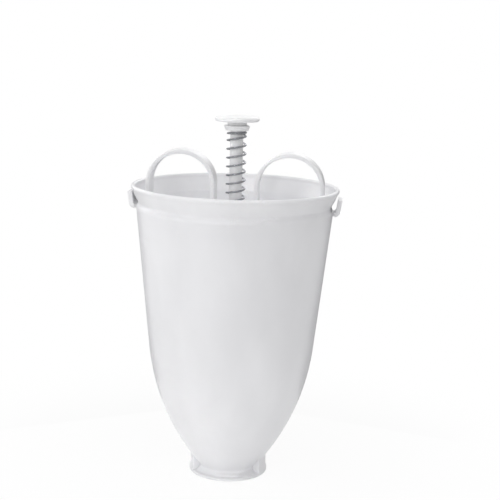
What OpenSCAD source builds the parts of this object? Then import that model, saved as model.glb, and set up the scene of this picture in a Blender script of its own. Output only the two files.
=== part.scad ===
// Donut dropper: a tapered batter hopper on a ringed foot, two finger loops hooked through its wall,
// and a sprung plunger whose disc opens and closes the outlet.
// Millimetres. The origin is the middle of the foot's underside, +Z is up, +X runs along the loops.

/* [Hopper] */
// Outer diameter of the lip
rim_d = 106.4; // [90:0.2:120]
// Height of the lip above the foot's underside
hopper_h = 152.1; // [125:0.1:180]
// Thickness of the moulded wall
wall = 1.6; // [1.2:0.1:2]
// Thickness of the rounded lip
lip_bead = 2.3; // [2:0.1:3]
// Height of the flared band between the neck and the lip
band_h = 9.3; // [8:0.1:12]
// Width by which the band flares out from the neck to the lip
band_flare = 4.2; // [3:0.1:5]
// Radius of the outward curve of the flared band
band_curve = 32; // [24:1:60]
// Depth of the neck's groove below the line of the wall
neck_groove = 1.7; // [1.2:0.1:2.2]
// Radius of the shoulder under the neck
shoulder_r = 4; // [3:0.1:6]
// Slope of the straight wall from upright, in degrees
wall_slope = 6; // [4:0.1:8]
// Radius of the long curve between the straight wall and the spout
ogive_r = 120; // [100:1:140]

/* [Foot] */
// Diameter of the outlet
throat_d = 28; // [23:0.2:33]
// Thickness of the spout round the outlet
spout_wall = 2; // [1.6:0.1:2.6]
// Height at which the long curve ends on the spout
spout_h = 4.3; // [3.6:0.1:6]
// Width of the foot ring outside the spout
foot_flange = 4.6; // [4:0.1:6]
// Height of the foot ring's edge
foot_ring_h = 1.4; // [1.2:0.1:2.4]
// Radius of the hollow curve from the spout to the foot ring
foot_hollow_r = 3.8; // [3.2:0.1:4.4]
// Depth by which the hollow curve runs into the spout and the foot ring
foot_blend = 0.2; // [0.1:0.05:0.3]
// Distance of the side pads inside the edge of the foot ring
pad_set_in = 0.6; // [0.4:0.1:1.2]
// Height at which the pads start to spread into the foot ring
pad_spread_h = 4.8; // [4.4:0.1:6]
// Radius of the hollow curve by which the pads spread
pad_hollow_r = 10; // [8:0.1:14]
// Angle that each side pad spans, in degrees
pad_angle = 60; // [40:1:80]

/* [Finger loops] */
// Width of the strip that the loops and hooks are made of
strip_w = 12; // [10:0.1:14]
// Thickness of the strip of the loops
strip_t = 2.1; // [1.8:0.1:2.6]
// Radius of the edges of the strip
strip_edge_r = 0.6; // [0.3:0.1:0.8]
// Space between a loop and the inside of the neck
loop_gap = 1.8; // [1.2:0.1:2.6]
// Width of the bar under the loop
bar_w = 10; // [8:0.1:11]
// Thickness of the bar
bar_t = 1.7; // [1.4:0.1:2]
// Depth of the middle of the bar below the neck
bar_drop = 2.8; // [2.4:0.1:3.4]
// Clearance of the hook in the slot through the wall
slot_gap = 0.2; // [0.1:0.05:0.3]
// Thickness of the hook
hook_t = 2.4; // [2.2:0.1:2.8]
// Space between the foot of the hook and the line of the wall
hook_gap = 1; // [0.8:0.1:2]
// Inner radius of the bend at the foot of the hook
hook_bend_r = 0.5; // [0.3:0.1:0.8]
// Lean of the hook away from the wall, in degrees
hook_lean = 9; // [7:0.5:14]
// Depth of the hook's tip below the lip
hook_tip_drop = 4.3; // [3.6:0.1:6]

/* [Guide hub] */
// Length of the hub between the two loops
hub_l = 20; // [16.6:0.1:24]
// Height of the hub's top above the bars
hub_rise = 1.9; // [1.6:0.1:2.6]
// Depth of the hub's arms below the bars
hub_drop = 2; // [1.5:0.1:4]
// Length of the guide barrel
barrel_h = 15; // [12:0.5:20]
// Thickness of the barrel round the spring's seat
barrel_wall = 1.3; // [1:0.1:1.6]
// Depth of the spring's seat
seat_depth = 1.2; // [0.8:0.1:1.4]
// Clearance round the spring in its seat
seat_gap = 0.5; // [0.3:0.1:0.7]
// Length of the bar's end in the hub
tongue_l = 4; // [3:0.1:4.8]
// Clearance between pieces that are pushed together
push_gap = 0.06; // [0.02:0.01:0.1]

/* [Return spring] */
// Diameter of the wire
wire_d = 1; // [0.8:0.05:1.2]
// Space between the rod and the spring
spring_gap = 0.85; // [0.6:0.05:1.2]
// Length of the spring at rest
spring_l = 38.4; // [34:0.1:44]
// Number of open coils
open_coils = 7.25; // [6:0.25:9]
// Number of close turns at each end
close_turns = 1.25; // [0.5:0.25:1.5]
// Gap between the close turns
close_gap = 0.5; // [0.45:0.05:0.8]
// Turn of the spring about the rod, in degrees
spring_turn = 150; // [0:5:355]
// Clearance between the spring and the collar above it
spring_top_gap = 0.3; // [0.2:0.05:0.4]

/* [Plunger] */
// Diameter of the rod
rod_d = 6.6; // [6:0.1:7]
// Running clearance of the rod in the hub
rod_gap = 0.3; // [0.2:0.05:0.4]
// Bevel on the ends of the rod
rod_bevel = 0.4; // [0.2:0.1:0.8]
// Height of the stop ring on the rod
stop_h = 2; // [1.5:0.1:3]
// Width of the stop ring's face under the hub
stop_face = 1.8; // [1.2:0.1:2.5]
// Clearance between the stop ring and the hub at rest
stop_gap = 0.3; // [0.2:0.05:0.4]
// Width of the spring collar's foot outside the spring
collar_lip = 0.65; // [0.4:0.05:1]
// Width by which the spring collar spreads above its foot
collar_flare = 0.8; // [0.5:0.1:1.2]
// Height of the spring collar
collar_h = 2.6; // [2:0.1:3.2]
// Bevel on the upper edge of the spring collar
collar_bevel = 0.4; // [0.2:0.1:0.6]
// Diameter of the thumb button
button_d = 22.6; // [20:0.2:26]
// Thickness of the button's edge
button_t = 2.4; // [2:0.1:3]
// Height of the crown of the button
button_crown = 0.5; // [0.3:0.1:1]
// Thickness of the button's neck round the rod
button_neck_wall = 1.6; // [1.2:0.1:2.4]
// Height of the button's neck
button_neck_h = 2; // [1.6:0.1:4]
// Thickness of the button over the end of the rod
button_roof = 1.8; // [1.4:0.1:2]

/* [Outlet valve] */
// Clearance of the disc in the outlet
valve_gap = 0.4; // [0.3:0.05:0.6]
// Height of the disc above the foot's underside at rest
valve_lift = 0.6; // [0.3:0.1:1]
// Height of the disc's straight edge
valve_edge_h = 2.8; // [2.4:0.1:3.4]
// Height of the disc's sloping top
valve_slope_h = 5.2; // [4.6:0.1:6]
// Thickness of the disc's shell
valve_shell = 1.8; // [1.4:0.1:2]
// Thickness of the boss round the rod
boss_wall = 2; // [1.6:0.1:2.4]
// Height of the boss above the rod's seat
boss_h = 5; // [4.5:0.1:8]
// Thickness of the floor that the rod sits on
boss_floor = 2; // [1.6:0.1:2.4]
// Diameter of the screw
screw_d = 3; // [2.6:0.1:3.2]
// Length of the screw under its head
screw_l = 10; // [8:0.5:14]
// Diameter of the screw's head
screw_head_d = 5.6; // [5:0.1:6]
// Height of the screw's head
screw_head_h = 1.8; // [1.6:0.1:2]
// Width of the cross in the screw's head
cross_w = 0.8; // [0.6:0.1:1]
// Length of the cross in the screw's head
cross_l = 3.2; // [2.6:0.1:3.6]
// Depth of the cross in the screw's head
cross_depth = 1; // [0.6:0.1:1.2]

/* [Hidden] */
$fn = 96;
LONG_STEPS = 360;
LIP_SWEEP = 30;
overrun = 1;
plastic_colour = "#eeeef0";
wire_colour = "#b4b7bb";
screw_colour = "#c9cbce";

// The hopper's outline, from the lip down: each place is [radius, height].
neck = [rim_d / 2 - band_flare, hopper_h - band_h];
lip = [rim_d / 2 - lip_bead / 2, hopper_h - lip_bead / 2];
band_c = two_reach(neck, band_curve, lip, band_curve - wall / 2);
band_from = atan2(neck[1] - band_c[1], neck[0] - band_c[0]);
band_to = atan2(lip[1] - band_c[1], lip[0] - band_c[0]);
wall_out = [cos(wall_slope), -sin(wall_slope)];
wall_down = [-sin(wall_slope), -cos(wall_slope)];
wall_head = neck + [neck_groove, 0];
shoulder_in = (neck - wall_head) * wall_out;
shoulder_run = (neck - wall_head) * wall_down + sqrt(-shoulder_in * (2 * shoulder_r + shoulder_in));
shoulder = wall_head + shoulder_run * wall_down;
shoulder_c = shoulder - shoulder_r * wall_out;
throat_r = throat_d / 2;
spout = [throat_r + spout_wall, spout_h];
spout_in = (spout - wall_head) * wall_out;
ogive_run = (spout - wall_head) * wall_down - sqrt(-spout_in * (2 * ogive_r + spout_in));
ogive_top = wall_head + ogive_run * wall_down;
ogive_c = ogive_top - ogive_r * wall_out;
foot_r = spout[0] + foot_flange;
pad_r = foot_r - pad_set_in;

// The finger loops, drawn on the side of +X.
bar_mid = neck[1] - bar_drop;
bar_top = bar_mid + bar_t / 2;
bar_foot = bar_mid - bar_t / 2;
loop_inner = hub_l / 2 + push_gap;
loop_outer = neck[0] - wall - loop_gap;
arch_r = (loop_outer - loop_inner) / 2;
arch_mid_r = arch_r - strip_t / 2;
arch_c = [loop_inner + arch_r, hopper_h];
leg_l = arch_c[1] - bar_mid + strip_t / 2;
hook_mid_r = hook_bend_r + hook_t / 2;
hook_c = [neck[0] + neck_groove + hook_gap - hook_bend_r, bar_mid + hook_mid_r];
hook_l = (hopper_h - hook_tip_drop - hook_c[1]) / cos(hook_lean);

// The hub and the plunger, from the hub's top down and then up.
rod_r = rod_d / 2;
bore_r = rod_r + rod_gap;
hub_top = bar_top + hub_rise;
arm_h = hub_rise + bar_t + hub_drop;
spring_r = rod_r + spring_gap + wire_d;
seat_r = spring_r + seat_gap;
barrel_r = seat_r + barrel_wall;
seat_z = hub_top - seat_depth;
stop_z = hub_top - barrel_h - stop_gap - stop_h;
collar_z = seat_z + spring_l + spring_top_gap;
collar_r = spring_r + collar_lip;
neck_z = collar_z + collar_h;
button_z = neck_z + button_neck_h;
button_flat_r = button_d / 2 - button_t / 2;
crown_r = (pow(button_flat_r, 2) + pow(button_crown, 2)) / (2 * button_crown);
rod_top = button_z + button_t + button_crown - button_roof;
valve_r = throat_r - valve_gap;
valve_slope_z = valve_lift + valve_edge_h;
boss_r = rod_r + push_gap + boss_wall;
rod_foot = valve_slope_z + valve_slope_h - boss_floor / 2;
floor_z = rod_foot - boss_floor;
screw_r = screw_d / 2;

// The wire of the spring: its middle line has 8 points a turn and an upright end at each seat.
COIL_STEPS = 8;
WIRE_SIDES = 6;
coil_r = spring_r - wire_d / 2;
close_rise = close_turns * (wire_d + close_gap);
open_rise = spring_l - 2 * wire_d - 2 * close_rise;
all_turns = open_coils + 2 * close_turns;
coil_path = [for (i = [0 : round(all_turns * COIL_STEPS)]) coil_point(i / COIL_STEPS)];
wire_path = concat(
    [[coil_path[0][0], coil_path[0][1], seat_z]],
    coil_path,
    [[coil_path[len(coil_path) - 1][0], coil_path[len(coil_path) - 1][1], seat_z + spring_l]]);
coil_gap = min([for (i = [0 : len(wire_path) - 1])
    for (j = [i + COIL_STEPS / 2 : 1 : len(wire_path) - 1]) norm(wire_path[i] - wire_path[j])]) - wire_d;
echo(least_gap_of_the_spring_to_itself = coil_gap);

// Place at the distance rp from p and rq from q, on the axis side of the line up from p to q.
function two_reach(p, rp, q, rq) =
    let (
        gap = norm(q - p),
        way = (q - p) / gap,
        along = (rp * rp - rq * rq + gap * gap) / (2 * gap))
    p + along * way + sqrt(rp * rp - along * along) * [-way[1], way[0]];

// Point at an angle and a distance from c.
function swing(c, r, angle) = c + r * [cos(angle), sin(angle)];

// Height of the wire above the foot of the spring's turns, after so many turns.
function coil_rise(turn) =
    turn < close_turns ? close_rise * turn / close_turns
    : turn < close_turns + open_coils ? close_rise + open_rise * (turn - close_turns) / open_coils
    : close_rise + open_rise + close_rise * (turn - close_turns - open_coils) / close_turns;

function coil_point(turn) =
    let (angle = spring_turn + 360 * turn)
    [coil_r * cos(angle), coil_r * sin(angle), seat_z + wire_d + coil_rise(turn)];

function unit(v) = v / norm(v);

// Ring of points round the wire at point i, square to the way that the wire runs there.
function wire_ring(i) =
    let (
        last = len(wire_path) - 1,
        ahead = unit(wire_path[min(i + 1, last)] - wire_path[max(i - 1, 0)]),
        out = [wire_path[i][0], wire_path[i][1], 0] / coil_r,
        side = unit(cross(ahead, out)),
        up = cross(side, ahead))
    [for (k = [0 : WIRE_SIDES - 1])
        let (angle = 360 * k / WIRE_SIDES)
        wire_path[i] + wire_d / 2 * (cos(angle) * up + sin(angle) * side)];

// Part of a disc about c, between two angles less than half a turn apart.
module disc_part(c, r, from, to) {
    far = 2 * r / cos((to - from) / 2);
    intersection() {
        translate(c)
            circle(r, $fn = LONG_STEPS);
        polygon([c, swing(c, far, from), swing(c, far, to)]);
    }
}

// Half of the space inside the hopper's outline below the neck, drawn in from it by the inset.
module body_area(inset) {
    low = ogive_top - inset * wall_out;
    high = shoulder - inset * wall_out;
    intersection() {
        translate(ogive_c)
            circle(ogive_r - inset, $fn = LONG_STEPS);
        square([rim_d, ogive_top[1] + wall]);
    }
    polygon([[0, low[1]], low, high, [0, high[1]]]);
    translate(shoulder_c)
        circle(shoulder_r - inset);
}

// Half of the hopper's section: a lipped wall, straight inside under the neck, on a spout and a foot.
module hopper_section() {
    difference() {
        union() {
            body_area(0);
            disc_part(band_c, band_curve, 2 * band_from - band_to, band_to);
            square(spout);
            foot_ring_section();
        }
        intersection() {
            union() {
                body_area(wall);
                translate([0, shoulder_c[1] - shoulder_r])
                    square([rim_d, hopper_h]);
            }
            square([neck[0] - wall, 2 * hopper_h]);
        }
        disc_part(band_c, band_curve - wall, 2 * band_from - band_to, band_to + LIP_SWEEP);
        translate([0, -overrun])
            square([throat_r, overrun + spout_h + wall]);
    }
    translate(lip)
        circle(lip_bead / 2);
}

// The foot ring: a rounded edge, and a hollow curve that runs up into the spout.
module foot_ring_section() {
    hollow_c = [spout[0], foot_ring_h] + (foot_hollow_r - foot_blend) * [1, 1];
    square([foot_r - foot_ring_h / 2, foot_ring_h]);
    translate([foot_r - foot_ring_h / 2, foot_ring_h / 2])
        circle(foot_ring_h / 2);
    difference() {
        square(hollow_c);
        translate(hollow_c)
            circle(foot_hollow_r);
    }
}

// Section of a side pad: upright under the long curve, spreading into the foot ring.
module pad_section() {
    inner = throat_r + spout_wall / 2;
    base = foot_ring_h / 2;
    difference() {
        union() {
            translate([inner, base])
                square([pad_r - inner, pad_r]);
            translate([inner, base])
                square([foot_r - inner, pad_spread_h - base]);
        }
        translate([pad_r + pad_hollow_r, pad_spread_h])
            circle(pad_hollow_r);
        translate(ogive_c)
            circle(ogive_r - wall / 2, $fn = LONG_STEPS);
    }
}

module hopper() {
    color(plastic_colour)
        difference() {
            union() {
                rotate_extrude()
                    hopper_section();
                for (side = [0, 180])
                    rotate(side - pad_angle / 2)
                        rotate_extrude(angle = pad_angle)
                            pad_section();
            }
            for (side = [0, 180])
                rotate(side)
                    bar_slot();
        }
}

// Slot in the wall, large enough to let the hook through; the bar rests on its lower edge.
module bar_slot() {
    translate([loop_outer, -strip_w / 2 - slot_gap, bar_foot - slot_gap])
        cube([hook_c[0] - loop_outer, strip_w + 2 * slot_gap, hook_t + 2 * slot_gap]);
}

// Section of a strip of thickness t, with rounded edges, about its middle.
module strip_section(t) {
    square([t, strip_w - 2 * strip_edge_r], center = true);
    square([t - 2 * strip_edge_r, strip_w], center = true);
    for (x = [-1, 1])
        for (y = [-1, 1])
            translate([x * (t / 2 - strip_edge_r), y * (strip_w / 2 - strip_edge_r)])
                circle(strip_edge_r);
}

// The arch of a loop and its two legs, about the middle of the arch.
module arch() {
    rotate([90, 0, 0])
        rotate_extrude(angle = 180)
            translate([arch_mid_r, 0])
                strip_section(strip_t);
    for (side = [-1, 1])
        translate([side * arch_mid_r, 0, -leg_l])
            linear_extrude(leg_l)
                strip_section(strip_t);
}

// The hook about the middle of its bend: the bend, and an arm that leans away from the wall.
module hook() {
    rotate([0, hook_lean, 0]) {
        rotate([90, 0, 0])
            rotate_extrude(angle = hook_lean - 90)
                translate([hook_mid_r, 0])
                    strip_section(hook_t);
        translate([hook_mid_r, 0, 0])
            linear_extrude(hook_l)
                strip_section(hook_t);
    }
}

// A loop: the bar goes from the hub, through both legs and the wall, into the hook's bend.
module finger_loop() {
    translate([arch_c[0], 0, arch_c[1]])
        arch();
    translate([loop_inner - tongue_l, -bar_w / 2, bar_foot])
        cube([hook_c[0] + hook_bend_r - loop_inner + tongue_l, bar_w, bar_t]);
    translate([hook_c[0], 0, hook_c[1]])
        hook();
}

module left_finger_loop() {
    color(plastic_colour)
        mirror([1, 0, 0])
            finger_loop();
}

module right_finger_loop() {
    color(plastic_colour)
        finger_loop();
}

module guide_hub() {
    color(plastic_colour)
        difference() {
            union() {
                translate([0, 0, hub_top - barrel_h])
                    cylinder(h = barrel_h, r = barrel_r);
                translate([-hub_l / 2, -strip_w / 2, hub_top - arm_h])
                    cube([hub_l, strip_w, arm_h]);
            }
            translate([0, 0, hub_top - barrel_h - overrun])
                cylinder(h = barrel_h + 2 * overrun, r = bore_r);
            translate([0, 0, seat_z])
                cylinder(h = seat_depth + overrun, r = seat_r);
            for (side = [0, 180])
                rotate(side)
                    tongue_slot();
        }
}

// Slot in the hub for the end of a loop's bar.
module tongue_slot() {
    translate([loop_inner - tongue_l - push_gap, -bar_w / 2 - push_gap, bar_foot - push_gap])
        cube([tongue_l + overrun, bar_w + 2 * push_gap, bar_t + 2 * push_gap]);
}

// The spring: one unbroken wire, swept ring by ring along its path.
module return_spring() {
    rings = len(wire_path);
    points = [for (i = [0 : rings - 1]) each wire_ring(i)];
    skin = [for (i = [0 : rings - 2])
        for (k = [0 : WIRE_SIDES - 1])
            let (
                here = i * WIRE_SIDES + k,
                beside = i * WIRE_SIDES + (k + 1) % WIRE_SIDES)
            each [[here, here + WIRE_SIDES, beside], [beside, here + WIRE_SIDES, beside + WIRE_SIDES]]];
    first_end = [for (k = [1 : WIRE_SIDES - 2]) [0, k, k + 1]];
    last = (rings - 1) * WIRE_SIDES;
    last_end = [for (k = [1 : WIRE_SIDES - 2]) [last, last + k + 1, last + k]];
    color(wire_colour)
        polyhedron(points, concat(skin, first_end, last_end));
}

module plunger_rod() {
    color(plastic_colour)
        difference() {
            union() {
                translate([0, 0, rod_foot])
                    cylinder(h = rod_bevel, r1 = rod_r - rod_bevel, r2 = rod_r);
                translate([0, 0, rod_foot + rod_bevel])
                    cylinder(h = rod_top - rod_foot - 2 * rod_bevel, r = rod_r);
                translate([0, 0, rod_top - rod_bevel])
                    cylinder(h = rod_bevel, r1 = rod_r, r2 = rod_r - rod_bevel);
                translate([0, 0, stop_z])
                    cylinder(h = stop_h, r = bore_r + stop_face);
            }
            translate([0, 0, rod_foot - overrun])
                cylinder(h = overrun + screw_l, r = screw_r + push_gap);
        }
}

module spring_collar() {
    bore = rod_r + push_gap;
    color(plastic_colour)
        rotate_extrude()
            polygon([
                [bore, collar_z],
                [collar_r, collar_z],
                [collar_r + collar_flare, neck_z - collar_bevel],
                [collar_r + collar_flare - collar_bevel, neck_z],
                [bore, neck_z]]);
}

module thumb_button() {
    color(plastic_colour)
        rotate_extrude()
            difference() {
                union() {
                    translate([0, neck_z])
                        square([rod_r + button_neck_wall, button_neck_h]);
                    translate([0, button_z])
                        square([button_flat_r, button_t]);
                    translate([button_flat_r, button_z + button_t / 2])
                        circle(button_t / 2);
                    intersection() {
                        translate([0, button_z + button_t + button_crown - crown_r])
                            circle(crown_r, $fn = LONG_STEPS);
                        translate([0, button_z])
                            square([button_flat_r, button_d]);
                    }
                }
                translate([0, neck_z - overrun])
                    square([rod_r + push_gap, overrun + rod_top - neck_z]);
            }
}

// The disc that closes the outlet: a straight edge, a sloping top and a boss for the rod.
module valve_disc() {
    boss_top = rod_foot + boss_h;
    inside = valve_r - valve_shell;
    color(plastic_colour)
        rotate_extrude()
            difference() {
                polygon([
                    [0, valve_lift],
                    [valve_r, valve_lift],
                    [valve_r, valve_slope_z],
                    [boss_r, valve_slope_z + valve_slope_h],
                    [boss_r, boss_top],
                    [0, boss_top]]);
                polygon([
                    [0, valve_lift - overrun],
                    [inside, valve_lift - overrun],
                    [inside, valve_slope_z - valve_shell],
                    [boss_r, floor_z],
                    [0, floor_z]]);
                translate([0, rod_foot])
                    square([rod_r + push_gap, boss_h + overrun]);
                square([screw_r + push_gap, boss_top]);
            }
}

module valve_screw() {
    color(screw_colour)
        difference() {
            union() {
                translate([0, 0, floor_z - screw_head_h])
                    cylinder(h = screw_head_h, r = screw_head_d / 2);
                translate([0, 0, floor_z])
                    cylinder(h = screw_l, r = screw_r);
            }
            for (turn = [0, 90])
                rotate(turn)
                    translate([-cross_l / 2, -cross_w / 2, floor_z - screw_head_h - overrun])
                        cube([cross_l, cross_w, cross_depth + overrun]);
        }
}

hopper();
left_finger_loop();
right_finger_loop();
guide_hub();
return_spring();
plunger_rod();
spring_collar();
thumb_button();
valve_disc();
valve_screw();
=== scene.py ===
import math

import bmesh
import bpy
from bpy.props import FloatProperty, FloatVectorProperty, IntProperty, PointerProperty
from bpy.types import Operator, Panel, PropertyGroup
from mathutils import Matrix, Vector


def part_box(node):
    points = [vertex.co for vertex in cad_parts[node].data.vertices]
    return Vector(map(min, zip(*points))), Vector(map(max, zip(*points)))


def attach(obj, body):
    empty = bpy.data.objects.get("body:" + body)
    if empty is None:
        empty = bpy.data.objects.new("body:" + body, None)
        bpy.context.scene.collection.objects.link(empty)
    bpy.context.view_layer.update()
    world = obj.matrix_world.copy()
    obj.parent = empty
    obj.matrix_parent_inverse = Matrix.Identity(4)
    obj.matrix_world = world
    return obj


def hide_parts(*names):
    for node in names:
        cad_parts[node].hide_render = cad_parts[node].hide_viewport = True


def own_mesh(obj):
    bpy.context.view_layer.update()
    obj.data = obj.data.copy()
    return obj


bl_info = {
    "name": "Donut Dropper",
    "version": (1, 0, 0),
    "blender": (4, 5, 0),
    "location": "3D View > Sidebar > Dropper",
    "description": "Builds the looks of a sprung donut dropper on its packed solids",
    "category": "Object",
}

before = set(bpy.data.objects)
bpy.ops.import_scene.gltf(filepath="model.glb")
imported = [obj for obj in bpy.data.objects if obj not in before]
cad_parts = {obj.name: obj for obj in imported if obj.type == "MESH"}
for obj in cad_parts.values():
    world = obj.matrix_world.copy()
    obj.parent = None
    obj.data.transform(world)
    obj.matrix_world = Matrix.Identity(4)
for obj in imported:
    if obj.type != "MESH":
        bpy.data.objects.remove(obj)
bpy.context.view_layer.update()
ROOT = "hopper_body"
PLUNGER = "plunger"
MM = 0.001
FULL = 2 * math.pi
QUARTER = math.pi / 2

# Edges sharper than this angle stay sharp, and points nearer than this many metres become one.
CREASE = math.radians(32)
MERGED = 1e-7
# Least divisor where a cosine or a sine may be nothing.
TINY = 1e-9

# Points on the stretches of the hopper's outline.
RING_POINTS = 14
HOLLOW_POINTS = 8
SPREAD_POINTS = 24
LONG_POINTS = 42
WALL_POINTS = 20
SHOULDER_POINTS = 12
NECK_POINTS = 12
BAND_POINTS = 16
LIP_POINTS = 22
INNER_POINTS = 46
JOIN_POINTS = 6

# Sections round the hopper: how many there are evenly, how near one may come to a section that has to be there,
# how far beside a pad its last one stands, how far past a section its faces are tried, and the steps round an edge.
HOPPER_COLUMNS = 144
COLUMN_GAP = 0.012
BESIDE = 1e-6
JUST_PAST = 0.001
PAD_STEPS = 5

# Degrees between the hub's sections, and the steps round its edges.
HUB_DEGREES = 3
HUB_STEPS = 4

# Rise of the spring's closed turns, in thicknesses of the wire.
CLOSE_LAY = 1.05

# Sections round the button, points on its outline, and the share of the crown that its own arc covers.
BUTTON_COLUMNS = 128
BUTTON_EDGE_POINTS = 4
BUTTON_FILLET_POINTS = 6
BUTTON_RIM_POINTS = 16
CROWN_POINTS = 14
CROWN_SHARE = 0.97

# Sockets of the mix node where it mixes colours.
MIX_FIRST, MIX_SECOND, MIX_RESULT = 6, 7, 2
# Metres between the rings of the wave texture at a scale of 1.
WAVE_RINGS = 0.314

# The camera's sensor in millimetres, and the nearest thing that it sees in metres.
SENSOR = 36
NEAREST = 0.01
# The floor lies a hair under the foot, so that the two faces never lie in one plane.
FLOOR_DROP = 0.1 * MM
FLOOR_CELLS = 8
# The floor shows its shadow up to the far distance; near the foot this share of it is plain white all the same.
SHADOW_NEAR, SHADOW_FAR, SHADOW_WHITE = 0.03, 0.22, 0.94
# The grey cards: how far each is turned from straight behind, how far off it starts, and its side.
FLAG_TURN = math.radians(25)
FLAG_AWAY = 0.1
FLAG_SIDE = 0.2

# Each lamp's name, place, aim, width and height in metres, power in watts and spread in degrees.
MIDDLE = (0, 0, 0.1)
OPEN = 180
LAMPS = (
    ("left_softbox", (-0.95, -0.5, 0.2), MIDDLE, 0.8, 0.6, 2.0, OPEN),
    ("top_softbox", (-0.1, -0.35, 1.2), MIDDLE, 1.0, 1.0, 3.7, OPEN),
    ("back_softbox", (-0.8, 0.7, 0.6), MIDDLE, 0.8, 0.8, 2.5, OPEN),
    ("rear_softbox", (0.35, 1.2, 0.75), MIDDLE, 0.8, 0.6, 2.8, OPEN),
    ("front_strip", (-0.38, -1.35, 0.55), (0, 0, 0.15), 0.06, 1.3, 3.2, OPEN),
    ("foot_grid", (-0.7, -0.9, 0.12), (0, 0, 0.012), 0.1, 0.1, 0.003, 6),
    ("right_grid", (0.75, -0.86, 0.12), (0.01, 0, 0.012), 0.1, 0.1, 0.0035, 6),
    ("rod_grid", (-0.31, -0.86, 0.93), (0, 0, 0.151), 0.06, 0.06, 0.0026, 2.2),
    # Weak, broad lamps in the hopper stand in for the light that the thin milky wall lets through.
    ("low_glow", (0, 0, 0.04), MIDDLE, 0.036, 0.036, 0.004, OPEN),
    ("high_glow", (0, 0, 0.088), MIDDLE, 0.06, 0.06, 0.014, OPEN),
)


def linear(code):
    """An sRGB hex colour as linear red, green, blue and alpha."""
    parts = [int(code[i:i + 2], 16) / 255 for i in (1, 3, 5)]
    return [p / 12.92 if p <= 0.04045 else ((p + 0.055) / 1.055) ** 2.4 for p in parts] + [1.0]


def metres(label, about, value):
    """A length in metres."""
    return FloatProperty(name=label, description=about, default=value, unit="LENGTH", precision=5)


def size(label, about, value):
    """A length in millimetres, kept in metres."""
    return metres(label, about, value * MM)


def angle(label, about, value):
    """An angle in radians."""
    return FloatProperty(name=label, description=about, default=value, subtype="ANGLE")


def number(label, about, value):
    """A plain number."""
    return FloatProperty(name=label, description=about, default=value)


def count(label, about, value):
    """A whole number."""
    return IntProperty(name=label, description=about, default=value)


def tint(label, about, code):
    """A colour that a user may change."""
    return FloatVectorProperty(
        name=label, description=about, default=linear(code), size=4, min=0, max=1, subtype="COLOR")


class HopperSettings(PropertyGroup):
    """Sizes of the hopper's shell."""
    rim: metres("Rim radius", "Radius over the lip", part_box("hopper")[1].y)
    height: metres("Height", "Foot to lip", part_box("hopper")[1].z)
    wall: size("Wall", "Thickness of the moulded wall", 1.6)
    bead: size("Lip bead", "Thickness of the rounded lip", 2.3)
    band: size("Band height", "Height of the flared band with the lip", 9.3)
    flare: size("Band flare", "How far the band leans out over its height", 4.2)
    band_curve: size("Band curve", "Radius of the band's outward curve", 32)
    groove: size("Neck groove", "How far the neck sits inside the wall's head", 1.7)
    neck_ease: size("Neck ease", "Reach of the soft hollow in the neck", 1.2)
    shoulder: size("Shoulder", "Radius that rounds the wall into the neck", 4)
    slope: angle("Wall slope", "Lean of the upper wall", math.radians(6))
    ogive: size("Long curve", "Radius of the lower body's long curve", 120)
    throat: size("Throat radius", "Radius of the outlet", 14)
    spout_wall: size("Spout wall", "Wall round the outlet", 2)
    spout: size("Spout height", "Height of the upright spout", 4.3)
    flange: size("Foot flange", "How far the foot ring stands out", 4.6)
    ring: size("Foot ring", "Height of the foot ring's edge", 1.4)
    hollow: size("Foot hollow", "Radius of the hollow between the spout and the foot ring", 3.8)
    blend: size("Foot blend", "How far that hollow runs into the spout and the ring", 0.2)
    ease: size("Ease", "Reach of the soft curves at the other corners", 0.4)
    pad_in: size("Pad set-in", "How far the pads stand inside the foot ring", 0.6)
    pad_spread: size("Pad spread", "Height below which the pads spread into the ring", 4.8)
    pad_hollow: size("Pad hollow", "Radius of the pads' hollow", 10)
    pad_edge: size("Pad edge", "Radius on the upright edges of the pads", 0.5)
    pad_angle: angle("Pad angle", "Angle that one pad covers", math.radians(60))
    slot_half: size("Slot half width", "Half the width of a loop's slot", 6.2)
    slot_foot: size("Slot foot", "Height of the slot's lower edge", 138.95)
    slot_head: size("Slot head", "Height of the slot's upper edge", 141.75)


class HubSettings(PropertyGroup):
    """Sizes of the guide hub."""
    length: size("Length", "Length over both arms", 20)
    width: size("Width", "Width of the arms", 12)
    top: size("Top", "Height of the hub's top face", 142.75)
    arm: size("Arm height", "Height of the arms", 5.6)
    barrel: size("Barrel radius", "Radius of the guide barrel", 6.95)
    barrel_h: size("Barrel height", "Height of the guide barrel", 15)
    bore: size("Bore radius", "Radius of the bore that guides the rod", 3.6)
    seat: size("Seat radius", "Radius of the spring's seat", 5.65)
    seat_depth: size("Seat depth", "Depth of the spring's seat", 1.2)
    edge: size("Edge", "Radius on the moulded edges", 0.45)


class SpringSettings(PropertyGroup):
    """Sizes of the return spring."""
    wire: size("Wire", "Thickness of the wire", 1)
    coil: size("Coil radius", "Radius of the wire's middle line", 4.65)
    foot: size("Foot", "Height of the spring's seat", 141.55)
    length: size("Length", "Length of the spring at rest", 38.4)
    open_coils: number("Open coils", "Turns that are open", 7.25)
    close_turns: number("Closed turns", "Turns laid close at each end", 1.25)
    close_rise: size("Closed rise", "Height of the closed turns at each end", 2.875)
    start: angle("Start", "Angle of the lower end", math.radians(150))
    travel: size("Travel", "How far the plunger presses the spring", 15)
    steps: count("Steps", "Points on one turn", 40)
    sides: count("Sides", "Points round the wire", 14)


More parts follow.
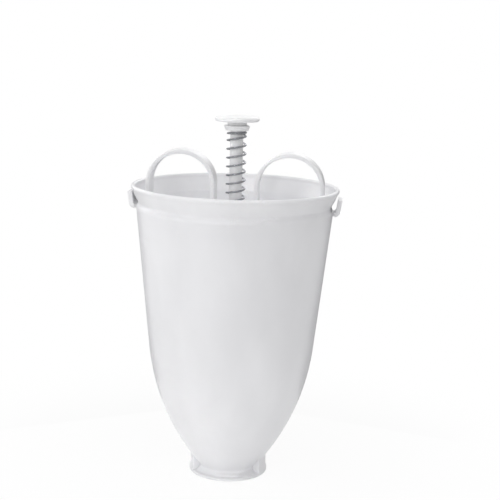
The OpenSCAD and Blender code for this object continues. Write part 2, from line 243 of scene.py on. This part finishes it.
class ButtonSettings(PropertyGroup):
    """Sizes of the thumb button."""
    rim: metres("Rim radius", "Radius of the button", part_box("thumb_button")[1].x)
    top: metres("Top", "Height of the crown's middle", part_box("thumb_button")[1].z)
    thickness: size("Thickness", "Thickness of the button's round edge", 2.4)
    crown: size("Crown", "Rise of the crowned top", 0.5)
    neck: size("Neck radius", "Radius of the neck under the button", 4.9)
    neck_h: size("Neck height", "Height of that neck", 2)
    bore: size("Bore radius", "Radius of the socket for the rod's end", 3.36)
    roof: size("Roof", "Plastic over the rod's end", 1.8)
    fillet: size("Fillet", "Radius between the neck and the button", 0.5)
    edge: size("Edge", "Radius on the neck's lower edges", 0.25)


class FinishSettings(PropertyGroup):
    """Colours of the materials."""
    hopper: tint("Hopper", "White polypropylene of the hopper", "#EEEEF0")
    hopper_shade: tint("Hopper flow marks", "Where the melt met or cooled first", "#E9E9EB")
    loops: tint("Loops", "White polypropylene of the loops and the hub", "#F0F0F1")
    loops_shade: tint("Loop flow marks", "Where the melt met or cooled first", "#EAEAEC")
    plunger: tint("Plunger", "White polypropylene of the rod, collar, button and disc", "#F4F4F5")
    plunger_shade: tint("Plunger flow marks", "Where the melt met or cooled first", "#EEEEEF")
    wire: tint("Wire", "Drawn spring steel", "#96989C")
    wire_dark: tint("Wire marks", "Drawing lines in the steel", "#707276")
    screw: tint("Screw", "Turned stainless steel", "#C6C8CA")
    screw_dark: tint("Screw marks", "Turning lines in the steel", "#A4A6A9")
    floor: tint("Floor", "Pale floor and backdrop", "#FFFFFF")
    floor_lit: tint("Lit floor", "The floor's own white, where its shadow shows", "#FAFAFA")
    flag: tint("Flag", "Grey cards behind the object", "#606062")


class StageSettings(PropertyGroup):
    """The camera, the floor and the light from all round."""
    distance: size("Camera distance", "From the axis of the hopper to the lens, level", 594.025)
    height: size("Camera height", "Height of the lens", 231.416)
    yaw: angle("Yaw", "How far the camera stands to the right", math.radians(6.5))
    pitch: angle("Pitch", "Camera looking down", 0.187525)
    pan: angle("Pan", "Camera turned to the right", 0.014147)
    roll: angle("Roll", "Camera leaning", 0.029964)
    focal_pixels: number("Focal length in pixels", "On a 500-pixel frame", 1169.77)
    frame_pixels: number("Frame", "Width of the frame in pixels", 500)
    floor: metres("Floor", "Side of the floor", 6)
    ambient: number("Ambient", "Light from all round", 0.465)


def arc(centre, radius, start, end, steps):
    """Points on an arc, from one angle to another."""
    turns = [start + (end - start) * i / steps for i in range(steps + 1)]
    return [Vector((centre[0] + radius * math.cos(t), centre[1] + radius * math.sin(t))) for t in turns]


def quarter_turns(steps):
    """Angles from 0 to a quarter turn."""
    return [i / steps * math.pi / 2 for i in range(steps + 1)]


def angle_of(centre, point):
    """The angle at which a point is seen from a centre."""
    return math.atan2(point[1] - centre[1], point[0] - centre[0])


def line(start, end, steps):
    """Points from start up to, and without, the end."""
    return [start.lerp(end, i / steps) for i in range(steps)]


def two_reach(p, rp, q, rq):
    """The place at the distance rp from p and rq from q, on the axis side of the way up from p to q."""
    way = q - p
    gap = way.length
    way = way / gap
    along = (rp * rp - rq * rq + gap * gap) / (2 * gap)
    return p + along * way + math.sqrt(rp * rp - along * along) * Vector((-way.y, way.x))


def joined(before, after, steps=JOIN_POINTS):
    """Two stretches of an outline, joined by a short curve that leaves each of them along its own way."""
    p, q = before[-1], after[0]
    u, v = p - before[-2], q - after[1]
    corner = p + u * ((q - p).cross(v) / u.cross(v))
    spots = [i / steps for i in range(1, steps)]
    return before + [p * (1 - t) ** 2 + corner * (2 * t * (1 - t)) + q * t * t for t in spots] + after


def spun(section, turn):
    """A half section turned to an angle about the axis."""
    c, s = math.cos(turn), math.sin(turn)
    return [Vector((p[0] * c, p[0] * s, p[1])) for p in section]


def lathe_faces(mesh, sections, gaps=()):
    """Quads all round between neighbouring closed sections, without the gaps (section, row); gives the points."""
    rings = [[mesh.verts.new(p) for p in section] for section in sections]
    for i, (here, there) in enumerate(zip(rings, rings[1:] + rings[:1])):
        for k in range(len(here)):
            if (i, k) not in gaps:
                j = (k + 1) % len(here)
                mesh.faces.new((here[k], there[k], there[j], here[j]))
    return rings


def turned(mesh, section, columns):
    """Turns an outline that starts and ends on the axis into a closed skin."""
    rings = []
    for p in section:
        turns = [FULL * i / columns for i in range(columns)] if p.x else [0]
        rings.append([mesh.verts.new((p.x * math.cos(t), p.x * math.sin(t), p.y)) for t in turns])
    for here, there in zip(rings, rings[1:]):
        for i in range(columns):
            j = (i + 1) % columns
            corners = (here[i % len(here)], here[j % len(here)], there[j % len(there)], there[i % len(there)])
            mesh.faces.new(list(dict.fromkeys(corners)))


def linked(name, data):
    """A new object in the scene."""
    made = bpy.data.objects.new(name, data)
    bpy.context.scene.collection.objects.link(made)
    return made


def finished(name, mesh, material, body, slot, *nodes):
    """Makes a piece of a mesh, with smooth faces, its material, its body and the nodes that it replaces; the slot
    argument is not used.
    """
    bmesh.ops.remove_doubles(mesh, verts=mesh.verts, dist=MERGED)
    bmesh.ops.recalc_face_normals(mesh, faces=mesh.faces)
    data = bpy.data.meshes.new(name)
    mesh.to_mesh(data)
    mesh.free()
    data.polygons.foreach_set("use_smooth", [True] * len(data.polygons))
    data.set_sharp_from_angle(angle=CREASE)
    data.materials.append(material)
    piece = linked(name, data)
    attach(piece, body)
    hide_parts(*nodes)
    return piece


def put(tree, kind, settings=(), links=()):
    """Adds a node, sets its inputs, by number or name, and its properties, by name, and links its inputs."""
    node = tree.nodes.new(kind)
    for key, value in dict(settings).items():
        if isinstance(key, int) or key in node.inputs:
            node.inputs[key].default_value = value
        else:
            setattr(node, key, value)
    for key, source in dict(links).items():
        tree.links.new(source, node.inputs[key])
    return node


def noise(tree, spot, across, **settings):
    """Soft noise whose spots are about so many metres across."""
    return put(tree, "ShaderNodeTexNoise", {"Scale": 1 / across, **settings}, {"Vector": spot}).outputs["Fac"]


def ranged(tree, value, low=0.0, high=1.0, to_low=0.0, to_high=1.0, **settings):
    """A value stretched from one range to another."""
    ends = {"From Min": low, "From Max": high, "To Min": to_low, "To Max": to_high}
    return put(tree, "ShaderNodeMapRange", {**settings, **ends}, {"Value": value}).outputs[0]


def mixed_colour(tree, first, second, share):
    """A colour between two others."""
    settings = {"data_type": "RGBA", MIX_FIRST: first, MIX_SECOND: second}
    return put(tree, "ShaderNodeMix", settings, {0: share}).outputs[MIX_RESULT]


def calculated(tree, operation, first, second):
    """What a sum on two values gives."""
    return put(tree, "ShaderNodeMath", {"operation": operation}, {0: first, 1: second}).outputs[0]


def object_place(tree):
    """Where a point lies on its own piece, in metres."""
    return put(tree, "ShaderNodeTexCoord").outputs["Object"]


def blank(name):
    """A material with an empty node tree and an output."""
    material = bpy.data.materials.new(name)
    material.use_nodes = True
    material.node_tree.nodes.clear()
    return material, material.node_tree, material.node_tree.nodes.new("ShaderNodeOutputMaterial")


def moulded_polypropylene(name, colour, shade, smooth, rough):
    """Injection-moulded polypropylene: milky white and a little see-through at thin edges, with a soft gloss.

    The eye sees slow clouds where the melt flowed, about 18 mm across, and the fine spark-eroded grain
    of the mould; the grain is about 0.05 mm in the real part and is drawn at 0.4 mm so that it shows.
    """
    material, tree, out = blank(name)
    place = object_place(tree)
    flow = put(tree, "ShaderNodeMapping", {"Scale": (1.0, 1.0, 0.35)}, {"Vector": place}).outputs[0]
    cloud = noise(tree, flow, 18 * MM, Detail=3.0, Roughness=0.45)
    grain = noise(tree, place, 0.4 * MM, Detail=2.0)
    hue = mixed_colour(tree, colour, shade, ranged(tree, cloud, 0.35, 0.65))
    gloss = ranged(tree, grain, 0.3, 0.7, smooth, rough)
    bump = put(tree, "ShaderNodeBump", {"Strength": 0.05, "Distance": 0.02 * MM}, {"Height": grain})
    shader = put(
        tree, "ShaderNodeBsdfPrincipled",
        {"IOR": 1.49, "Subsurface Weight": 0.5, "Subsurface Radius": (1.0, 1.0, 1.0),
         "Subsurface Scale": 2.0 * MM},
        {"Base Color": hue, "Roughness": gloss, "Normal": bump.outputs[0]})
    tree.links.new(shader.outputs[0], out.inputs["Surface"])


def drawn_spring_steel(name, colour, dark):
    """Drawn spring steel wire: a cool grey with a bright streak on each strand.

    Drawing leaves hair lines along the wire, about 0.02 mm apart, drawn here at 0.12 mm so that they show.
    """
    material, tree, out = blank(name)
    along = put(tree, "ShaderNodeUVMap", {"uv_map": "wire"}).outputs[0]
    stretch = (1 / (0.12 * MM), 1 / (6 * MM), 1.0)
    hair = put(tree, "ShaderNodeMapping", {"Scale": stretch}, {"Vector": along}).outputs[0]
    lines = noise(tree, hair, 1.0, Detail=2.0)
    tarnish = noise(tree, object_place(tree), 5 * MM, Detail=2.0)
    worn = ranged(tree, calculated(tree, "MULTIPLY", lines, tarnish), 0.12, 0.42)
    hue = mixed_colour(tree, colour, dark, worn)
    gloss = ranged(tree, lines, to_low=0.12, to_high=0.22)
    bump = put(tree, "ShaderNodeBump", {"Strength": 0.1, "Distance": 0.01 * MM}, {"Height": lines})
    shader = put(
        tree, "ShaderNodeBsdfPrincipled", {"Metallic": 1.0},
        {"Base Color": hue, "Roughness": gloss, "Normal": bump.outputs[0]})
    tree.links.new(shader.outputs[0], out.inputs["Surface"])


def turned_stainless_steel(name, colour, dark):
    """Turned stainless steel of the screw: bright, with fine rings round its axis about 0.2 mm apart."""
    material, tree, out = blank(name)
    rings = put(
        tree, "ShaderNodeTexWave",
        {"wave_type": "RINGS", "rings_direction": "Z", "Scale": WAVE_RINGS / (0.2 * MM), "Distortion": 1.5,
         "Detail": 2.0}, {"Vector": object_place(tree)}).outputs["Fac"]
    hue = mixed_colour(tree, colour, dark, rings)
    gloss = ranged(tree, rings, to_low=0.18, to_high=0.32)
    shader = put(tree, "ShaderNodeBsdfPrincipled", {"Metallic": 1.0}, {"Base Color": hue, "Roughness": gloss})
    tree.links.new(shader.outputs[0], out.inputs["Surface"])


def material_named(name):
    """A finish that the materials step has made."""
    if name not in bpy.data.materials:
        raise RuntimeError(f"the finish {name} isn't made yet: run Finishes first")
    return bpy.data.materials[name]


def dress(node, material):
    """Gives a solid that stays showing its material."""
    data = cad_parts[node].data
    data.materials.clear()
    data.materials.append(material)


class DROPPER_OT_finishes(Operator):
    """Makes the plastics and steels of the dropper."""
    bl_idname = "dropper.finishes"
    bl_label = "Finishes"

    def execute(self, context):
        s = context.scene.dropper_finish
        moulded_polypropylene("hopper_polypropylene", s.hopper, s.hopper_shade, smooth=0.3, rough=0.4)
        moulded_polypropylene("loop_polypropylene", s.loops, s.loops_shade, smooth=0.3, rough=0.42)
        moulded_polypropylene("plunger_polypropylene", s.plunger, s.plunger_shade, smooth=0.32, rough=0.44)
        drawn_spring_steel("drawn_spring_steel", s.wire, s.wire_dark)
        turned_stainless_steel("turned_stainless_steel", s.screw, s.screw_dark)
        return {"FINISHED"}


def hopper_outline(s):
    """The closed outline of half of the hopper's section: out from the throat, up the outside and down the inside."""
    neck = Vector((s.rim - s.flare, s.height - s.band))
    lip = Vector((s.rim - s.bead / 2, s.height - s.bead / 2))
    band_c = two_reach(neck, s.band_curve, lip, s.band_curve - s.wall / 2)
    band_from, band_to = angle_of(band_c, neck), angle_of(band_c, lip)
    out = Vector((math.cos(s.slope), -math.sin(s.slope)))
    down = Vector((-math.sin(s.slope), -math.cos(s.slope)))
    head = neck + Vector((s.groove, 0))
    inward = (neck - head).dot(out)
    run = (neck - head).dot(down) + math.sqrt(-inward * (2 * s.shoulder + inward))
    shoulder = head + run * down
    shoulder_c = shoulder - s.shoulder * out
    spout = Vector((s.throat + s.spout_wall, s.spout))
    inward = (spout - head).dot(out)
    run = (spout - head).dot(down) - math.sqrt(-inward * (2 * s.ogive + inward))
    ogive_top = head + run * down
    ogive_c = ogive_top - s.ogive * out
    foot = spout.x + s.flange - s.ring / 2
    hollow_c = Vector((spout.x, s.ring)) + (s.hollow - s.blend) * Vector((1, 1))
    trim = math.acos(1 - s.blend / s.hollow) + s.ease / s.hollow

    # The outside, from the throat's foot up and over the lip.
    base = [Vector((s.throat + s.ease, 0)), Vector((foot, 0))]
    edge = arc((foot, s.ring / 2), s.ring / 2, -math.pi / 2, math.pi / 2, RING_POINTS)
    edge.append(Vector((hollow_c.x - s.ease, s.ring)))
    hollow = arc(hollow_c, s.hollow, -math.pi / 2 - trim, -math.pi + trim, HOLLOW_POINTS)
    spout_turn = angle_of(ogive_c, spout) + 2 * s.ease / s.ogive
    pad_turn = spout_turn + 2 * s.pad_spread / s.ogive
    long_curve = arc(ogive_c, s.ogive, spout_turn, pad_turn, SPREAD_POINTS)[:-1]
    long_curve += arc(ogive_c, s.ogive, pad_turn, -s.slope, LONG_POINTS)
    shoulder_end = angle_of(shoulder_c, neck) - s.neck_ease / s.shoulder
    turn = arc(shoulder_c, s.shoulder, -s.slope, shoulder_end, SHOULDER_POINTS)
    tuck = math.acos(s.wall / s.bead)
    band_start = band_from + s.neck_ease / s.band_curve
    band_end = band_to - (s.bead / 2 * math.sin(tuck) + s.ease) / s.band_curve
    band = arc(band_c, s.band_curve, band_start, band_end, BAND_POINTS)
    tuck -= 2 * s.ease / s.bead
    over = arc(lip, s.bead / 2, band_to - tuck, band_to + math.pi + tuck, LIP_POINTS)

    # The inside, from the lip down to the throat.
    inner_r = neck.x - s.wall
    band_in = arc(band_c, s.band_curve - s.wall, band_end, band_start, BAND_POINTS)
    wall_in = ogive_top - s.wall * out
    bore_foot = wall_in - down * ((inner_r - wall_in.x) / math.sin(s.slope))
    bore = [Vector((inner_r, neck.y)), bore_foot + Vector((0, s.bead))]
    inner_wall = line(bore_foot + s.bead * down, wall_in, WALL_POINTS)
    reach = math.sqrt((s.ogive - s.wall) ** 2 - (s.throat - ogive_c.x) ** 2)
    throat_top = Vector((s.throat, ogive_c.y - reach))
    inner_end = angle_of(ogive_c, throat_top) + 2 * s.ease / s.ogive
    inner_long = arc(ogive_c, s.ogive - s.wall, -s.slope, inner_end, INNER_POINTS)
    throat = [throat_top - Vector((0, 2 * s.ease)), Vector((s.throat, s.ease))]

    points = joined(base + edge[1:], hollow)
    points = joined(points, long_curve)
    points = joined(points + line(ogive_top, shoulder, WALL_POINTS)[1:] + turn, band, NECK_POINTS)
    points = joined(points, over)
    points = joined(points, band_in)
    points = joined(points, bore)
    points = joined(points, inner_wall) + inner_long
    points = joined(points, throat)
    return joined(points, base)[:-2]


def crossing(points, height, rising):
    """Adds the point where the outline crosses a height on its way up or down, and gives it."""
    for i in range(len(points)):
        a, b = points[i], points[(i + 1) % len(points)]
        low, high = (a, b) if rising else (b, a)
        if low.y < height <= high.y:
            spot = a.lerp(b, (height - a.y) / (b.y - a.y))
            points.insert(i + 1, spot)
            return spot
    raise RuntimeError("the hopper's outline doesn't reach the slot")


def slot_walls(mesh, rings, first, last, outside, inside):
    """Closes the four sides of a slot between two columns."""
    out_lo, out_hi = outside
    in_lo, in_hi = inside
    for column in range(first, last):
        here, there = rings[column], rings[column + 1]
        mesh.faces.new((here[out_lo], there[out_lo], there[in_lo], here[in_lo]))
        mesh.faces.new((here[out_hi], here[in_hi], there[in_hi], there[out_hi]))
    for column in (first, last):
        ring = rings[column]
        mesh.faces.new([ring[i] for i in range(out_lo, out_hi + 1)] + [ring[i] for i in range(in_hi, in_lo + 1)])


def pad_face(s, z):
    """Radius of a pad's outer face at a height: upright, and hollow as it spreads into the foot ring."""
    foot_r = s.throat + s.spout_wall + s.flange
    outer = foot_r - s.pad_in
    drop = max(s.pad_spread - z, 0)
    return min(outer + s.pad_hollow - math.sqrt(s.pad_hollow ** 2 - drop ** 2), foot_r - s.ease / 10)


def hopper_columns(s, sides):
    """Angles of the sections round the hopper, each with how far its pad's face is cut back.

    That is None for a section beside the pads.
    """
    half = s.pad_angle / 2
    bend = s.pad_edge / pad_face(s, s.pad_spread)
    edge = [(half + BESIDE, None)]
    edge += [
        (half - bend * (1 - math.cos(t)), s.pad_edge * (1 - math.sin(t))) for t in quarter_turns(PAD_STEPS)]
    made = [(side, 0) for side in sides]
    for middle in (0, math.pi):
        made += [((middle + way * turn) % FULL, cut) for way in (-1, 1) for turn, cut in edge]
    taken = [turn for turn, cut in made]
    for i in range(HOPPER_COLUMNS):
        turn = FULL * i / HOPPER_COLUMNS
        if min(abs(turn - other) for other in taken) > COLUMN_GAP:
            on_pad = abs(math.sin(turn)) < math.sin(half)
            made.append((turn, 0 if on_pad else None))
    return sorted(made, key=lambda column: column[0])


class DROPPER_OT_hopper(Operator):
    """Builds the hopper's shell with its lip, band, slots, pads and foot ring."""
    bl_idname = "dropper.hopper"
    bl_label = "Hopper"

    def execute(self, context):
        s = context.scene.dropper_hopper
        points = hopper_outline(s)
        edges = (s.slot_foot, s.slot_head)
        marks = [crossing(points, edge, rising) for rising in (True, False) for edge in edges]
        out_lo, out_hi, in_lo, in_hi = [next(i for i, p in enumerate(points) if p is m) for m in marks]
        slot = math.asin(s.slot_half / (s.rim - s.flare))
        sides = [slot, math.pi - slot, math.pi + slot, FULL - slot]
        columns = hopper_columns(s, sides)
        turns = [turn for turn, cut in columns]
        sections = []
        for turn, cut in columns:
            section = [p.copy() for p in points]
            if cut is not None:
                for p in section[:out_lo]:
                    if p.y > s.ring / 2:
                        p.x = max(p.x, pad_face(s, p.y) - cut)
            sections.append(spun(section, turn))
        on_slot = [i for i, turn in enumerate(turns) if abs(math.sin(turn + JUST_PAST)) < math.sin(slot)]
        rows = [*range(out_lo, out_hi), *range(in_hi, in_lo)]
        mesh = bmesh.new()
        rings = lathe_faces(mesh, sections, {(i, k) for i in on_slot for k in rows})
        ends = [turns.index(side) for side in sides]
        for first, last in ((ends[1], ends[2]), (ends[3], ends[0] + len(turns))):
            slot_walls(mesh, rings + rings, first, last, (out_lo, out_hi), (in_lo, in_hi))
        finished(
            "hopper_shell", mesh, material_named("hopper_polypropylene"), ROOT, "hopper_plastic", "hopper")
        return {"FINISHED"}


class DROPPER_OT_guide_hub(Operator):
    """Builds the guide hub: a barrel for the rod, a seat for the spring and an arm to each loop."""
    bl_idname = "dropper.guide_hub"
    bl_label = "Guide hub"

    def execute(self, context):
        s = context.scene.dropper_hub
        low = s.top - s.barrel_h
        under = s.top - s.arm
        e = s.edge

        def edge_at(turn, inset):
            c, n = abs(math.cos(turn)), abs(math.sin(turn))
            box = min((s.length / 2 - inset) / max(c, TINY), (s.width / 2 - inset) / max(n, TINY))
            return max(box, s.barrel - inset)

        corner = math.atan2(s.width, s.length)
        meet = math.asin(s.width / 2 / s.barrel)
        turns = {math.radians(degrees) for degrees in range(0, 360, HUB_DEGREES)}
        for a in (corner, meet):
            turns |= {a, math.pi - a, math.pi + a, FULL - a}
        sections = []
        bends = quarter_turns(HUB_STEPS)
        for turn in sorted(turns):
            ring = [(s.bore, low + e), (s.bore, s.top - s.seat_depth), (s.seat, s.top - s.seat_depth)]
            ring += [(s.seat, s.top - e / 2), (s.seat + e / 2, s.top)]
            ring += [(edge_at(turn, e * (1 - math.sin(b))), s.top - e * (1 - math.cos(b))) for b in bends]
            ring += [(edge_at(turn, e * (1 - math.cos(b))), under + e * (1 - math.sin(b))) for b in bends]
            ring += [(s.barrel, under - e / 2)]
            ring += [(s.barrel - e * (1 - math.cos(b)), low + e * (1 - math.sin(b))) for b in bends]
            ring += [(s.bore + e, low)]
            sections.append(spun(ring, turn))
        mesh = bmesh.new()
        lathe_faces(mesh, sections)
        finished("guide_hub_moulding", mesh, material_named("loop_polypropylene"), ROOT, "loop_plastic", "guide_hub")
        return {"FINISHED"}


class DROPPER_OT_return_spring(Operator):
    """Winds the return spring: one wire with open coils and closed ends."""
    bl_idname = "dropper.return_spring"
    bl_label = "Return spring"

    def execute(self, context):
        s = context.scene.dropper_spring
        total = s.open_coils + 2 * s.close_turns
        pitch = (s.length - 2 * s.close_rise) / s.open_coils
        close_pitch = CLOSE_LAY * s.wire
        rise = s.close_rise - s.wire / 2
        lay = (rise - (close_pitch + pitch) / 2 * s.close_turns) / ((close_pitch - pitch) / 2)

        def height(turn):
            if turn > total / 2:
                return s.length - height(total - turn)
            if turn <= lay:
                return s.wire / 2 + close_pitch * turn
            up = min(turn, s.close_turns) - lay
            z = s.wire / 2 + close_pitch * (lay + up)
            z += (pitch - close_pitch) * up * up / 2 / (s.close_turns - lay)
            return z + pitch * max(turn - s.close_turns, 0)

        steps = round(total * s.steps)
        path = []
        for i in range(steps + 1):
            turn = total * i / steps
            a = s.start + FULL * turn
            path.append(Vector((s.coil * math.cos(a), s.coil * math.sin(a), s.foot + height(turn))))
        mesh = bmesh.new()
        layer = mesh.loops.layers.uv.new("wire")
        turns = [FULL * k / s.sides for k in range(s.sides)]
        rings = []
        for i, point in enumerate(path):
            ahead = (path[min(i + 1, steps)] - path[max(i - 1, 0)]).normalized()
            outward = Vector((point.x, point.y, 0)).normalized()
            side = ahead.cross(outward).normalized()
            up = side.cross(ahead)
            rings.append([
                mesh.verts.new(point + s.wire / 2 * (math.cos(t) * up + math.sin(t) * side)) for t in turns])
        pace = (path[1] - path[0]).length
        around = math.pi * s.wire / s.sides
        for i in range(steps):
            for k in range(s.sides):
                j = (k + 1) % s.sides
                face = mesh.faces.new((rings[i][k], rings[i + 1][k], rings[i + 1][j], rings[i][j]))
                spots = ((k, i), (k, i + 1), (k + 1, i + 1), (k + 1, i))
                for loop, spot in zip(face.loops, spots):
                    loop[layer].uv = (spot[0] * around, spot[1] * pace)
        mesh.faces.new(rings[0])
        mesh.faces.new(rings[-1])
        spring = finished(
            "return_spring_wire", mesh, material_named("drawn_spring_steel"), ROOT, "spring_wire", "return_spring")
        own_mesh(spring)
        return {"FINISHED"}


class DROPPER_OT_thumb_button(Operator):
    """Turns the thumb button: a crowned disc with a round edge, on a short neck that takes the rod's end."""
    bl_idname = "dropper.thumb_button"
    bl_label = "Thumb button"

    def execute(self, context):
        s = context.scene.dropper_button
        e, half = s.edge, s.thickness / 2
        middle = s.top - s.crown - half
        under, flat = middle - half, s.rim - half
        foot = under - s.neck_h
        crown_r = (flat ** 2 + s.crown ** 2) / (2 * s.crown)
        lean = math.asin(flat / crown_r)
        section = [Vector((0, s.top - s.roof)), Vector((s.bore, s.top - s.roof))]
        section += arc((s.bore + e, foot + e), e, 2 * QUARTER, 3 * QUARTER, BUTTON_EDGE_POINTS)
        section += arc((s.neck - e, foot + e), e, -QUARTER, 0, BUTTON_EDGE_POINTS)
        section += arc(
            (s.neck + s.fillet, under - s.fillet), s.fillet, 2 * QUARTER, QUARTER, BUTTON_FILLET_POINTS)
        section += arc((flat, middle), half, -QUARTER, QUARTER - lean, BUTTON_RIM_POINTS)
        section += arc((0, s.top - crown_r), crown_r, QUARTER - CROWN_SHARE * lean, QUARTER, CROWN_POINTS)
        section[-1].x = 0
        mesh = bmesh.new()
        turned(mesh, section, BUTTON_COLUMNS)
        finished(
            "thumb_button_moulding", mesh, material_named("plunger_polypropylene"), PLUNGER, "plunger_plastic",
            "thumb_button")
        return {"FINISHED"}


class DROPPER_OT_plain_mouldings(Operator):
    """Finishes the solids that show as they are: the loops, the plunger's other pieces, the disc and its screw."""
    bl_idname = "dropper.plain_mouldings"
    bl_label = "Loops, plunger and disc"

    def execute(self, context):
        for node in ("left_finger_loop", "right_finger_loop"):
            dress(node, material_named("loop_polypropylene"))
        for node in ("plunger_rod", "spring_collar", "valve_disc"):
            dress(node, material_named("plunger_polypropylene"))
        dress("valve_screw", material_named("turned_stainless_steel"))
        return {"FINISHED"}


def camera_view(s):
    """Place and way of the camera: at its distance and height, panned, pitched and rolled, and moved by the yaw."""
    cp, sp = math.cos(s.pitch), math.sin(s.pitch)
    ca, sa = math.cos(s.pan), math.sin(s.pan)
    cr, sr = math.cos(s.roll), math.sin(s.roll)
    right = Vector((ca, -sa, 0))
    up = Vector((sp * sa, sp * ca, cp))
    x = cr * right + sr * up
    y = cr * up - sr * right
    view = Matrix.Identity(4)
    for column, axis in enumerate((x, y, x.cross(y), Vector((0, -s.distance, s.height)))):
        for row in range(3):
            view[row][column] = axis[row]
    return Matrix.Rotation(s.yaw, 4, "Z") @ view


def lamp(name, place, aim, width, height, power, spread):
    """A soft box that looks at a point; a narrow spread is a grid on its front."""
    data = bpy.data.lights.new(name, "AREA")
    data.shape = "RECTANGLE"
    data.size = width
    data.size_y = height
    data.energy = power
    data.spread = math.radians(spread)
    box = linked(name, data)
    box.location = place
    box.visible_camera = False
    box.rotation_euler = (Vector(aim) - Vector(place)).to_track_quat("-Z", "Y").to_euler()


def grey_card(colour):
    """Matt grey card, which the eye meets only as the dark line that it draws along an edge."""
    material, tree, out = blank("grey_card")
    card = put(tree, "ShaderNodeBsdfDiffuse", {"Color": colour})
    tree.links.new(card.outputs[0], out.inputs["Surface"])
    return material


def flag(name, turn, material):
    """A card leaning back behind the object, unseen by the camera."""
    corners = ((-1, 0), (1, 0), (1, 1), (-1, 1))
    spots = [(x * FLAG_SIDE / 2, FLAG_AWAY + z * FLAG_SIDE, z * FLAG_SIDE) for x, z in corners]
    data = bpy.data.meshes.new(name)
    data.from_pydata([turn @ Vector(p) for p in spots], [], [(0, 1, 2, 3)])
    data.materials.append(material)
    card = linked(name, data)
    card.visible_camera = False


def seen_ray(tree):
    """1 for a ray that the eye, a shine or a clear thing sends out, and 0 for one that carries light."""
    path = put(tree, "ShaderNodeLightPath").outputs
    first = calculated(tree, "MAXIMUM", path["Is Camera Ray"], path["Is Glossy Ray"])
    return calculated(tree, "MAXIMUM", first, path["Is Transmission Ray"])


def pale_paper(colour, lit):
    """White paper: the eye sees plain white, with a faint soft shadow round the foot."""
    material, tree, out = blank("pale_paper")
    matt = put(tree, "ShaderNodeBsdfDiffuse", {"Color": lit})
    glow = put(tree, "ShaderNodeEmission", {"Color": colour, "Strength": 1.0})
    away = put(tree, "ShaderNodeVectorMath", {"operation": "LENGTH"}, {0: object_place(tree)}).outputs["Value"]
    fade = ranged(tree, away, SHADOW_NEAR, SHADOW_FAR, SHADOW_WHITE, 1.0, interpolation_type="SMOOTHSTEP")
    share = calculated(tree, "MULTIPLY", seen_ray(tree), fade)
    mixed = put(tree, "ShaderNodeMixShader", {}, {0: share, 1: matt.outputs[0], 2: glow.outputs[0]})
    tree.links.new(mixed.outputs[0], out.inputs["Surface"])
    return material


def backdrop(colour, ambient):
    """A world that looks white and sends out the light from all round."""
    world = bpy.data.worlds.new("backdrop")
    world.use_nodes = True
    tree = world.node_tree
    tree.nodes.clear()
    soft = put(tree, "ShaderNodeBackground", {"Color": colour, "Strength": ambient})
    white = put(tree, "ShaderNodeBackground", {"Color": colour, "Strength": 1.0})
    mixed = put(tree, "ShaderNodeMixShader", {}, {0: seen_ray(tree), 1: soft.outputs[0], 2: white.outputs[0]})
    put(tree, "ShaderNodeOutputWorld", {}, {"Surface": mixed.outputs[0]})
    return world


class DROPPER_OT_stage(Operator):
    """Sets the camera, the lamps, the pale floor and the backdrop."""
    bl_idname = "dropper.stage"
    bl_label = "Stage"

    def execute(self, context):
        scene = context.scene
        s = scene.dropper_stage
        colours = scene.dropper_finish
        data = bpy.data.cameras.new("camera")
        data.sensor_width = SENSOR
        data.lens = data.sensor_width * s.focal_pixels / s.frame_pixels
        data.clip_start = NEAREST
        camera = linked("camera", data)
        camera.matrix_world = camera_view(s)
        scene.camera = camera

        mesh = bmesh.new()
        bmesh.ops.create_grid(mesh, x_segments=FLOOR_CELLS, y_segments=FLOOR_CELLS, size=s.floor / 2)
        data = bpy.data.meshes.new("floor")
        mesh.to_mesh(data)
        mesh.free()
        data.materials.append(pale_paper(colours.floor, colours.floor_lit))
        floor = linked("floor", data)
        floor.location.z = -FLOOR_DROP

        scene.world = backdrop(colours.floor, s.ambient)
        for settings in LAMPS:
            lamp(*settings)
        material = grey_card(colours.flag)
        for name, way in (("flag_0", 1), ("flag_2", -1)):
            flag(name, Matrix.Rotation(s.yaw + way * FLAG_TURN, 4, "Z"), material)
        scene.view_settings.view_transform = "Standard"
        return {"FINISHED"}


STEPS = (
    DROPPER_OT_stage, DROPPER_OT_finishes, DROPPER_OT_hopper, DROPPER_OT_guide_hub, DROPPER_OT_return_spring,
    DROPPER_OT_thumb_button, DROPPER_OT_plain_mouldings)
GROUPS = {
    "dropper_hopper": HopperSettings,
    "dropper_hub": HubSettings,
    "dropper_spring": SpringSettings,
    "dropper_button": ButtonSettings,
    "dropper_finish": FinishSettings,
    "dropper_stage": StageSettings,
}


class DROPPER_PT_panel(Panel):
    """Lists the dropper's settings and steps."""
    bl_idname = "DROPPER_PT_panel"
    bl_label = "Donut dropper"
    bl_space_type = "VIEW_3D"
    bl_region_type = "UI"
    bl_category = "Dropper"

    def draw(self, context):
        for name, group in GROUPS.items():
            box = self.layout.box()
            box.label(text=group.__doc__)
            for key in group.__annotations__:
                box.prop(getattr(context.scene, name), key)
        for step in STEPS:
            self.layout.operator(step.bl_idname)


def register():
    """Makes the settings, the steps and the panel known to Blender."""
    for kind in (*GROUPS.values(), *STEPS, DROPPER_PT_panel):
        bpy.utils.register_class(kind)
    for name, group in GROUPS.items():
        setattr(bpy.types.Scene, name, PointerProperty(type=group))


def unregister():
    """Takes them out again."""
    for name in GROUPS:
        delattr(bpy.types.Scene, name)
    for kind in reversed((*GROUPS.values(), *STEPS, DROPPER_PT_panel)):
        bpy.utils.unregister_class(kind)


def main():
    """Builds the dropper step by step."""
    register()
    bpy.ops.dropper.stage()
    bpy.ops.dropper.finishes()
    bpy.ops.dropper.hopper()
    bpy.ops.dropper.guide_hub()
    bpy.ops.dropper.return_spring()
    bpy.ops.dropper.thumb_button()
    bpy.ops.dropper.plain_mouldings()


if __name__ == "__main__":
    main()
